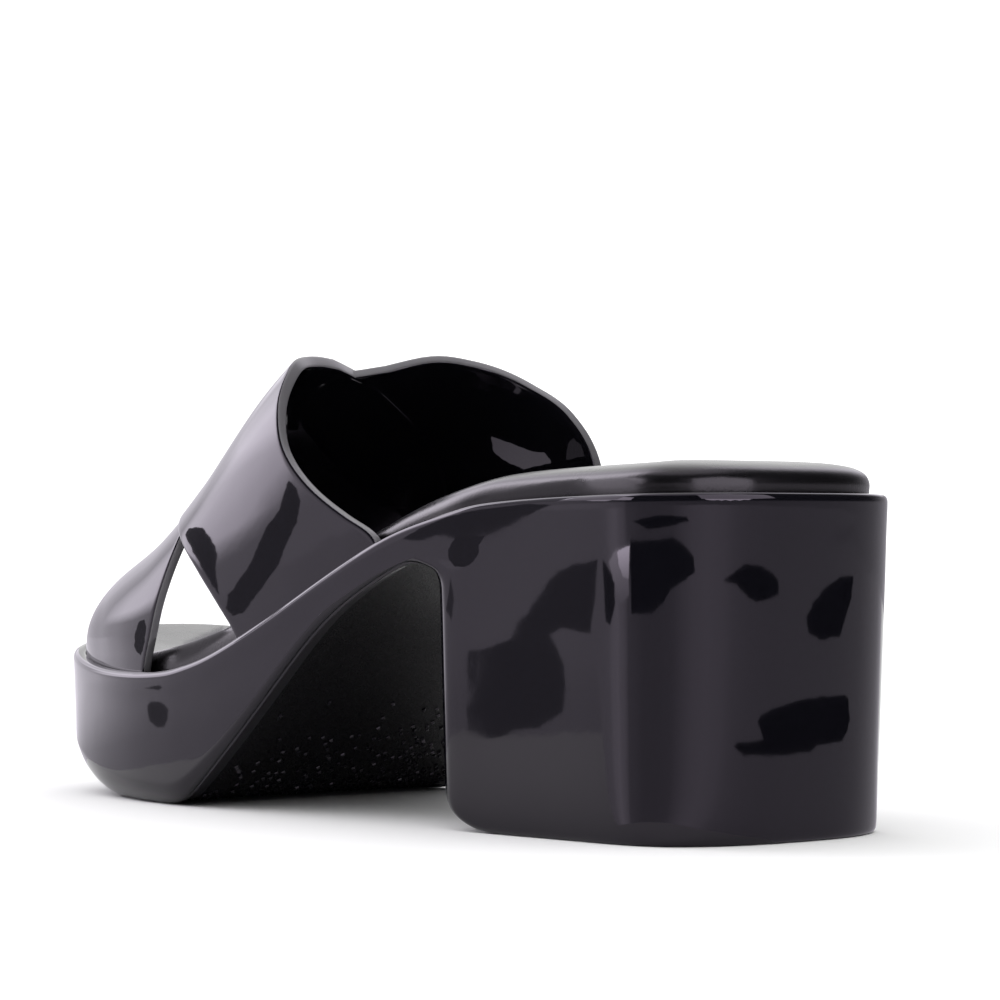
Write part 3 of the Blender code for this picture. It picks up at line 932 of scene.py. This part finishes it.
def mark_underside(mesh_builder, ring_layer, panel_ring):
    """Give the recessed panels that face the floor the tread's material, with its painted shade."""
    mesh_builder.normal_update()
    for face in mesh_builder.faces:
        on_panel = all(vert[ring_layer] in (0, panel_ring) for vert in face.verts)
        low = max(vert.co.z for vert in face.verts) < SECTIONS[BREAST_SECTION, UNDER] + PANEL_RECESS
        face.material_index = 1 if on_panel and low and abs(face.normal.z) > PANEL_FACING else 0


def pad_inset(x):
    """Return how far the insole's edge lies inside the rim's edge at x."""
    past_start = ease(x, BANDS_FROM - BANDS_EASE, BANDS_FROM)
    past_end = ease(x, BANDS_TO, BANDS_TO + BANDS_EASE)
    return PAD_INSET_FREE + (PAD_INSET_BANDS - PAD_INSET_FREE) * past_start * (1 - past_end)


def build_insole_mesh(rise_heel, rise_toe):
    """Make the pad that lies in the recess and stands a little above the rim."""
    plan = Plan()
    inset = pad_inset(plan.cage[:, 0])
    thinned = ease(plan.cage[:, 0], PAD_THINS_FROM, PAD_THINS_TO)
    rise = rise_heel + (rise_toe - rise_heel) * thinned
    mesh_builder = bmesh.new()
    rings = []
    for extra, height in PAD_FOOT_RINGS:
        heights = plan.rim - RECESS_DEPTH + height
        rings.append(add_ring(mesh_builder, plan.inset(inset + extra), heights))
    spread = 1 - (1 - PAD_STEEP) * ease(plan.cage[:, 0], PAD_STEEP_FROM, PAD_STEEP_TO)
    for extra, share in PAD_DOME_RINGS:
        heights = plan.rim + share * rise
        rings.append(add_ring(mesh_builder, plan.inset(inset + extra * spread), heights))
    for lower_ring, upper_ring in zip(rings, rings[1:]):
        bridge(mesh_builder, lower_ring, upper_ring)
    fill_grid(mesh_builder, plan, rings[0])
    fill_grid(mesh_builder, plan, rings[-1])
    return mesh_builder


def vault_point(x, angle):
    """Return the vault's outer surface at x and at an angle across the foot, in degrees."""
    angle = min(max(angle, 0.0), 180.0)
    lateral = smooth_column(x, SECTIONS, LATERAL) - BAND_INSET
    medial = smooth_column(x, SECTIONS, MEDIAL) + BAND_INSET
    low = smooth_column(x, SECTIONS, RIM) - BAND_LOW
    ridge = smooth_column(x, VAULT_RIDGE, 1)
    across = math.cos(math.radians(angle))
    upward = math.sin(math.radians(angle))
    side = math.copysign(abs(across) ** (2 / VAULT_POWER), across)
    rise = max(upward, 0.0) ** (2 / VAULT_POWER)
    y = (lateral + medial) / 2 + (lateral - medial) / 2 * side + VAULT_LEAN * rise
    return np.array((x, y, low + (ridge - low) * rise))


def vault_normal(x, angle):
    """Return the vault's outward unit normal."""
    along = vault_point(x + NORMAL_STEP, angle) - vault_point(x - NORMAL_STEP, angle)
    across = vault_point(x, angle + NORMAL_STEP) - vault_point(x, angle - NORMAL_STEP)
    normal = np.cross(across, along)
    normal /= np.linalg.norm(normal)
    outward = normal[2]
    if angle < SIDE_ANGLE:
        outward = normal[1]
    elif angle > 180.0 - SIDE_ANGLE:
        outward = -normal[1]
    return -normal if outward < 0 else normal


class BandEdge:
    """A smooth edge on the vault, read by stage: foot, crossing's start, crossing's end, foot."""

    def __init__(self, places):
        stops = [i for i, place in enumerate(places) if place in CROSSING]
        self.stops = [0, *stops, len(places) - 1]
        rows = np.array(places)
        chords = np.hypot(*np.diff(rows, axis=0).T)
        along = np.concatenate([[0.0], np.cumsum(chords)])
        self.rows = np.column_stack([along, rows])

    def place(self, stage):
        """Return (x, angle) at a stage from 0 to 3."""
        along = np.interp(stage, range(len(self.stops)), self.rows[self.stops, 0])
        return np.array([smooth_column(along, self.rows, 1), smooth_column(along, self.rows, 2)])


def band_stages():
    """Return the rows' stages, close together at the feet where the vault is steep."""
    first = (np.arange(END_ROWS) / END_ROWS) ** FOOT_EASE
    middle = 1 + np.arange(CROSSING_ROWS) / CROSSING_ROWS
    last = BAND_STAGES - np.flip(first)
    return np.concatenate([first, middle, [2.0], last])


def band_columns(width, wall):
    """Return the distance across and the depth share of each column of a band's face."""
    edge = [(distance * wall, depth) for distance, depth in EDGE_PROFILE]
    inner = np.linspace(edge[-1][0], width - edge[-1][0], BAND_COLUMNS)[1:-1]
    columns = edge + [(distance, 0.0) for distance in inner]
    return columns + [(width - distance, depth) for distance, depth in reversed(edge)]


def band_row(rear, front, lifts, cover, wall):
    """Return one row's outer and inner points across a band, lifted at its rear and front edge."""
    shares = np.linspace(0.0, 1.0, ROW_SAMPLES)
    places = [rear + (front - rear) * share for share in shares]
    points = np.array([vault_point(*place) for place in places])
    normals = np.array([vault_normal(*place) for place in places])
    steps = np.linalg.norm(np.diff(points, axis=0), axis=1)
    travelled = np.concatenate([[0.0], np.cumsum(steps)])
    outer = []
    inner = []
    for distance, depth in band_columns(travelled[-1], wall):
        base = np.array([np.interp(distance, travelled, points[:, k]) for k in range(3)])
        normal = np.array([np.interp(distance, travelled, normals[:, k]) for k in range(3)])
        lift = np.interp(distance, (0.0, travelled[-1]), lifts)
        outer.append(base + normal * (lift - depth * wall))
        inner.append(base - normal * (wall + cover - depth * wall))
    return outer, inner


def lowered(row, distance):
    """Return a row's outer and inner points moved straight down."""
    down = np.array((0.0, 0.0, distance))
    return tuple([point - down for point in side] for side in row)


def band_rows(band, lifts, cover, wall):
    """Return all rows of a band, with the rows that go down inside the lip at both feet."""
    rear_edge, front_edge = (BandEdge(places) for places in band)
    rows = []
    for stage in band_stages():
        near = ease(min(stage, BAND_STAGES - stage), LIFT_FROM, 1.0)
        places = (rear_edge.place(stage), front_edge.place(stage))
        rows.append(band_row(*places, [lift * near for lift in lifts], cover * near, wall))
    step = BAND_TUCK / TUCK_ROWS
    head = [lowered(rows[0], step * k) for k in range(TUCK_ROWS, 0, -1)]
    tail = [lowered(rows[-1], step * k) for k in range(1, TUCK_ROWS + 1)]
    return head + rows + tail


def add_band(mesh_builder, band, lifts, cover, wall):
    """Add one band as a closed shell with rounded edges."""
    rings = []
    edge_verts = set()
    for outer, inner in band_rows(band, lifts, cover, wall):
        ring = [mesh_builder.verts.new(point) for point in outer + inner[::-1]]
        rings.append(ring)
        for side in (ring[:len(outer)], ring[len(outer):]):
            edge_verts.update(side[:EDGE_COLUMNS] + side[-EDGE_COLUMNS:])
    for ring_a, ring_b in zip(rings, rings[1:]):
        bridge(mesh_builder, ring_a, ring_b)
    for ring in (rings[0], rings[-1]):
        count = len(ring)
        for i in range(count // 2 - 1):
            j = count - 1 - i
            mesh_builder.faces.new((ring[i], ring[i + 1], ring[j - 1], ring[j]))
    # The edge faces take the second material, whose pale colour is a painted highlight
    for face in mesh_builder.faces:
        if edge_verts.issuperset(face.verts):
            face.material_index = 1


def lozenge(mesh_builder, centre, normal, pitch, height):
    """Add one stud: a lozenge with sloping sides and a flat tip, standing out along the normal."""
    across = Vector((0.0, 1.0, 0.0))
    along = across.cross(normal).normalized()
    length = pitch * STUD_LENGTH / 2
    width = pitch * STUD_WIDTH / 2
    corners = (along * length, across * width, along * -length, across * -width)
    rings = []
    for share, sunk, rise in STUD_RINGS:
        base = centre + normal * (sunk * MM + rise * height)
        rings.append([mesh_builder.verts.new(base + corner * share) for corner in corners])
    for ring_a, ring_b in zip(rings, rings[1:]):
        bridge(mesh_builder, ring_a, ring_b)
    mesh_builder.faces.new(rings[0])
    mesh_builder.faces.new(rings[-1])


def panel_hit(tree, panel_faces, x, y):
    """Return the place and normal where a line straight up meets a tread panel, or None."""
    place, normal, face, distance = tree.ray_cast(Vector((x, y, -1.0)), Vector((0.0, 0.0, 1.0)))
    if place is None or face not in panel_faces:
        return None
    return place, normal


def tread_places(sole, pitch):
    """Yield the place and normal of each stud, in staggered rows that keep clear of the panels' edges."""
    graph = bpy.context.evaluated_depsgraph_get()
    shown = sole.evaluated_get(graph)
    panel_faces = {polygon.index for polygon in shown.data.polygons if polygon.material_index == 1}
    tree = BVHTree.FromObject(sole, graph)
    low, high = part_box("sole")
    margin = pitch / 2
    rows = int((high.x - low.x) / margin)
    columns = int((high.y - low.y) / pitch) + 1
    heel_front = to_metres((SECTIONS[BREAST_SECTION, X], 0.0, 0.0)).x
    tread_start = to_metres((TREAD_FROM, 0.0, 0.0)).x
    for row in range(rows):
        x = low.x + row * margin
        for column in range(columns):
            y = low.y + (column + 0.5 * (row % 2)) * pitch
            past_start = (x - tread_start - TREAD_SLANT * y) / (TREAD_FADE * MM)
            chance = TREAD_CHANCE + noise.noise(Vector((x, y, 0.0)) * TREAD_FADE_PITCH)
            if x > heel_front and past_start < chance:
                continue
            around = [panel_hit(tree, panel_faces, x + a * margin, y + b * margin)
                      for a, b in ((1, 0), (-1, 0), (0, 1), (0, -1))]
            here = panel_hit(tree, panel_faces, x, y)
            if here is not None and None not in around:
                place, normal = here
                lean = noise.noise_vector(place * STUD_LEAN_PITCH) * STUD_LEAN
                aside = lean.cross(normal) * pitch * STUD_STRAY
                yield place + aside, (normal + lean).normalized()


class MuleFinish(bpy.types.PropertyGroup):
    """Colours and gloss of the shoe's surfaces."""

    gloss_colour: bpy.props.FloatVectorProperty(
        name="Moulding colour", description="Colour of the moulded sole and bands",
        subtype="COLOR", size=3, min=0.0, max=1.0, default=(0.0042, 0.0040, 0.0060))
    gloss_roughness: bpy.props.FloatProperty(
        name="Moulding roughness", description="Haze of the moulded gloss",
        min=0.0, max=1.0, default=0.05)
    gloss_ior: bpy.props.FloatProperty(
        name="Moulding IOR", description="Refractive index of the moulded plastic",
        min=1.0, max=2.5, default=1.4)
    ripple: bpy.props.FloatProperty(
        name="Ripple", description="Height of the slow ripple in the moulded walls",
        unit="LENGTH", default=0.00012)
    # The edges' pale grey is a painted highlight, not the plastic's own colour
    edge_highlight_colour: bpy.props.FloatVectorProperty(
        name="Edge colour", description="Colour of the bands' cut edges",
        subtype="COLOR", size=3, min=0.0, max=1.0, default=(0.13, 0.125, 0.135))
    edge_roughness: bpy.props.FloatProperty(
        name="Edge roughness", description="Haze of the bands' cut edges",
        min=0.0, max=1.0, default=0.35)
    pad_colour: bpy.props.FloatVectorProperty(
        name="Insole colour", description="Colour of the insole's cover",
        subtype="COLOR", size=3, min=0.0, max=1.0, default=(0.0036, 0.0034, 0.0042))
    pad_roughness: bpy.props.FloatProperty(
        name="Insole roughness", description="Haze of the insole's cover",
        min=0.0, max=1.0, default=0.28)


class MuleSizes(bpy.types.PropertyGroup):
    """Sizes of the parts that a maker would change."""

    pad_rise_heel: bpy.props.FloatProperty(
        name="Pad rise at heel", description="Height of the insole above the rim at the heel",
        unit="LENGTH", default=0.007)
    pad_rise_toe: bpy.props.FloatProperty(
        name="Pad rise at toe", description="Height of the insole above the rim at the toe",
        unit="LENGTH", default=0.003)
    band_wall: bpy.props.FloatProperty(
        name="Band wall", description="Thickness of the bands",
        unit="LENGTH", default=0.0024)
    crossing_lift_rear: bpy.props.FloatProperty(
        name="Crossing lift, rear", description="Rise of the outer band's rear edge where the bands cross",
        unit="LENGTH", default=0.0012)
    crossing_lift_front: bpy.props.FloatProperty(
        name="Crossing lift, front", description="Rise of the outer band's front edge where the bands cross",
        unit="LENGTH", default=0.0006)
    crossing_cover: bpy.props.FloatProperty(
        name="Crossing cover", description="How far the outer band covers the inner one on the inside",
        unit="LENGTH", default=0.00015)
    stud_pitch: bpy.props.FloatProperty(
        name="Stud pitch", description="Distance between the studs of the tread",
        unit="LENGTH", default=0.0021)
    stud_height: bpy.props.FloatProperty(
        name="Stud height", description="Height of the studs of the tread",
        unit="LENGTH", default=0.0004)


class MuleStudio(bpy.types.PropertyGroup):
    """Floor and light of the studio."""

    floor_colour: bpy.props.FloatVectorProperty(
        name="Floor colour", description="Colour of the studio floor",
        subtype="COLOR", size=3, min=0.0, max=1.0, default=(0.93, 0.93, 0.93))
    floor_size: bpy.props.FloatProperty(
        name="Floor size", description="Length of the floor's sides",
        unit="LENGTH", default=8.0)
    sky_strength: bpy.props.FloatProperty(
        name="Surround", description="Brightness of the white surround", default=1.5)


class MULE_OT_sole(bpy.types.Operator):
    """Mould the sole with its block heel"""

    bl_idname = "mule.sole"
    bl_label = "Mould sole"

    def execute(self, context):
        finish = context.scene.mule_finish
        materials = [gloss_moulding("moulded_gloss", finish), tread_with_painted_shade("moulded_tread_painted_shade", finish)]
        sole = add_piece("sole_moulding", in_metres(build_sole_mesh()), materials)
        add_subdivision(sole)
        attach(sole, "root")
        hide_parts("sole")
        return {"FINISHED"}


class MULE_OT_tread(bpy.types.Operator):
    """Set the studs of the tread on the underside"""

    bl_idname = "mule.tread"
    bl_label = "Stud tread"

    def execute(self, context):
        noise.seed_set(NOISE_SEED)
        sizes = context.scene.mule_sizes
        sole = bpy.data.objects["sole_moulding"]
        mesh_builder = bmesh.new()
        for place, normal in tread_places(sole, sizes.stud_pitch):
            lozenge(mesh_builder, place, normal, sizes.stud_pitch, sizes.stud_height)
        gloss = gloss_moulding("stud_gloss", context.scene.mule_finish)
        tread = add_piece("tread_studs", mesh_builder, [gloss])
        tread.data.shade_flat()
        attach(tread, "root")
        return {"FINISHED"}


class MULE_OT_insole(bpy.types.Operator):
    """Make the padded insole"""

    bl_idname = "mule.insole"
    bl_label = "Pad insole"

    def execute(self, context):
        sizes = context.scene.mule_sizes
        mesh_builder = build_insole_mesh(sizes.pad_rise_heel / MM, sizes.pad_rise_toe / MM)
        cover = pad_cover("pad_cover", context.scene.mule_finish)
        insole = add_piece("insole_pad", in_metres(mesh_builder), [cover])
        add_subdivision(insole)
        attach(insole, "root")
        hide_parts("insole")
        return {"FINISHED"}


class MULE_OT_bands(bpy.types.Operator):
    """Lay the two bands over the vault, one over the other where they cross"""

    bl_idname = "mule.bands"
    bl_label = "Cross bands"

    def execute(self, context):
        sizes = context.scene.mule_sizes
        mesh_builder = bmesh.new()
        wall = sizes.band_wall / MM
        lifts = (sizes.crossing_lift_rear / MM, sizes.crossing_lift_front / MM)
        add_band(mesh_builder, UNDER_BAND, (0.0, 0.0), 0.0, wall)
        add_band(mesh_builder, OVER_BAND, lifts, sizes.crossing_cover / MM, wall)
        finish = context.scene.mule_finish
        materials = [gloss_moulding("band_gloss", finish), highlighted_cut_edge("band_edge_highlight", finish)]
        bands = add_piece("upper_bands", in_metres(mesh_builder), materials)
        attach(bands, "root")
        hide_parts("upper")
        return {"FINISHED"}


class MULE_OT_stage(bpy.types.Operator):
    """Set up the floor, the light and the camera"""

    bl_idname = "mule.stage"
    bl_label = "Set stage"

    def execute(self, context):
        studio = context.scene.mule_studio
        scene = context.scene
        scene.view_settings.view_transform = "Standard"
        self.add_floor(studio)
        self.add_surround(scene, studio)
        self.add_camera(scene)
        return {"FINISHED"}

    def add_floor(self, studio):
        """Lay a pale floor."""
        mesh_builder = bmesh.new()
        segments = {"x_segments": FLOOR_SEGMENTS, "y_segments": FLOOR_SEGMENTS}
        bmesh.ops.create_grid(mesh_builder, size=studio.floor_size / 2, **segments)
        material = plain_floor("studio_floor", studio.floor_colour)
        floor = add_mesh("studio_floor", mesh_builder, [material])

    def add_surround(self, scene, studio):
        """Surround the shoe with white."""
        world = bpy.data.worlds.new("white_surround")
        world.use_nodes = True
        background = world.node_tree.nodes["Background"]
        background.inputs["Color"].default_value = (1.0, 1.0, 1.0, 1.0)
        background.inputs["Strength"].default_value = studio.sky_strength
        scene.world = world

    def add_camera(self, scene):
        """Stand the camera low behind the outer side of the heel."""
        data = bpy.data.cameras.new("picture_camera")
        data.sensor_width = SENSOR_WIDTH
        data.lens = SENSOR_WIDTH * FOCAL_PIXELS / PICTURE
        data.clip_start = CLIP_START
        camera = bpy.data.objects.new("picture_camera", data)
        azimuth = math.radians(CAMERA_AZIMUTH)
        away = np.array((-math.cos(azimuth), math.sin(azimuth), 0.0))
        side = np.array((-math.sin(azimuth), -math.cos(azimuth), 0.0))
        place = np.array((*CAMERA_TARGET, CAMERA_HEIGHT)) + away * CAMERA_DISTANCE + side * CAMERA_SIDE
        pitch = math.radians(CAMERA_PITCH)
        look = Vector(-away * math.cos(pitch)) + Vector((0.0, 0.0, math.sin(pitch)))
        turn = look.to_track_quat("-Z", "Y").to_matrix().to_4x4()
        camera.matrix_world = Matrix.Translation(to_metres(place)) @ turn
        scene.collection.objects.link(camera)
        scene.camera = camera


class MULE_OT_cards(bpy.types.Operator):
    """Hang the room and the flags that the gloss mirrors"""

    bl_idname = "mule.cards"
    bl_label = "Hang cards"

    def execute(self, context):
        noise.seed_set(NOISE_SEED)
        shaded_card = shaded_glow("room_glow")
        self.add_room(shaded_card)
        self.add_floor_card("front_card", FRONT_CARD, FRONT_CARD_REACH, shaded_card)
        self.add_floor_card("back_card", BACK_CARD, BACK_CARD_REACH, shaded_card)
        mirrors = [Mirror(bpy.data.objects[name]) for name in MIRRORS]
        context.view_layer.update()
        for name, flag in FLAGS.items():
            self.add_flag(context.scene.camera, mirrors, name, shaded_card, *flag)
        return {"FINISHED"}

    def add_room(self, material):
        """Hang the room that the gloss mirrors, and its wall again far out to shade the floor."""
        add_card("room_dome", self.room_rows(ROOM_RADIUS), material)
        shade = add_card("room_shade", self.room_rows(SHADE_RADIUS)[:SHADE_ROWS], material)
        shade.visible_diffuse = True
        shade.visible_glossy = False

    def room_rows(self, room_radius):
        """Return the room's rows of (place, brightness), from the floor up."""
        azimuths = room_azimuths(ROOM_WALL)
        rows = []
        for column, elevations in enumerate(ROOM_ELEVATIONS, start=1):
            values = table_column(ROOM_WALL, column, azimuths)
            for elevation in np.radians(elevations):
                radius = room_radius * math.cos(elevation)
                height = room_radius * math.sin(elevation)
                places = [round_room(azimuth, radius, height) for azimuth in azimuths]
                rows.append(list(zip(places, values)))
        return rows

    def add_floor_card(self, name, table, reach, material):
        """Lay a card on the floor, from near the shoe to the room's wall."""
        azimuths = room_azimuths(table)
        values = table_column(table, 1, azimuths)
        rows = []
        for radius, share in reach:
            places = [round_room(azimuth, radius, CARD_HEIGHT) for azimuth in azimuths]
            rows.append(list(zip(places, FLOOR_BRIGHTNESS + (values - FLOOR_BRIGHTNESS) * share)))
        add_card(name, rows, material)

    def add_flag(self, camera, mirrors, name, material, distance, top, bottom, outline):
        """Hang one flag where its outline is mirrored."""
        heights = [y for x, y in outline]
        mesh_builder = bmesh.new()
        brightness = mesh_builder.verts.layers.float.new(BRIGHTNESS)
        face = mesh_builder.faces.new([mesh_builder.verts.new((x, y, 0.0)) for x, y in outline])
        bmesh.ops.triangulate(mesh_builder, faces=[face])
        bmesh.ops.subdivide_edges(mesh_builder, edges=mesh_builder.edges, cuts=FLAG_CUTS, use_grid_fill=True)
        for vert in mesh_builder.verts:
            pixel = vert.co.copy()
            vert[brightness] = float(np.interp(pixel.y, (min(heights), max(heights)), (top, bottom)))
            if vert.is_boundary:
                pixel += noise.noise_vector(pixel * FLAG_RAGGED_PITCH) * FLAG_RAGGED
            vert.co = mirrored_place(camera, mirrors, pixel, distance)
        add_stage_mesh("flag_" + name, mesh_builder, material)


class MULE_PT_panel(bpy.types.Panel):
    """Lists the steps that build the shoe"""

    bl_label = "Platform Mule"
    bl_idname = "MULE_PT_panel"
    bl_space_type = "VIEW_3D"
    bl_region_type = "UI"
    bl_category = "Mule"

    def draw(self, context):
        for settings in (context.scene.mule_sizes, context.scene.mule_finish, context.scene.mule_studio):
            for name in type(settings).__annotations__:
                self.layout.prop(settings, name)
        for operator in STEPS:
            self.layout.operator(operator.bl_idname)


STEPS = (MULE_OT_sole, MULE_OT_tread, MULE_OT_insole, MULE_OT_bands, MULE_OT_stage, MULE_OT_cards)
CLASSES = (MuleFinish, MuleSizes, MuleStudio, *STEPS, MULE_PT_panel)


def register():
    """Register the classes and hang the settings on the scene."""
    for cls in CLASSES:
        bpy.utils.register_class(cls)
    bpy.types.Scene.mule_finish = bpy.props.PointerProperty(type=MuleFinish)
    bpy.types.Scene.mule_sizes = bpy.props.PointerProperty(type=MuleSizes)
    bpy.types.Scene.mule_studio = bpy.props.PointerProperty(type=MuleStudio)


def unregister():
    """Take the settings and the classes away again."""
    del bpy.types.Scene.mule_studio
    del bpy.types.Scene.mule_sizes
    del bpy.types.Scene.mule_finish
    for cls in reversed(CLASSES):
        bpy.utils.unregister_class(cls)


def main():
    """Build the shoe and its studio."""
    register()
    bpy.ops.mule.sole()
    bpy.ops.mule.tread()
    bpy.ops.mule.insole()
    bpy.ops.mule.bands()
    bpy.ops.mule.stage()
    bpy.ops.mule.cards()


if __name__ == "__main__":
    main()
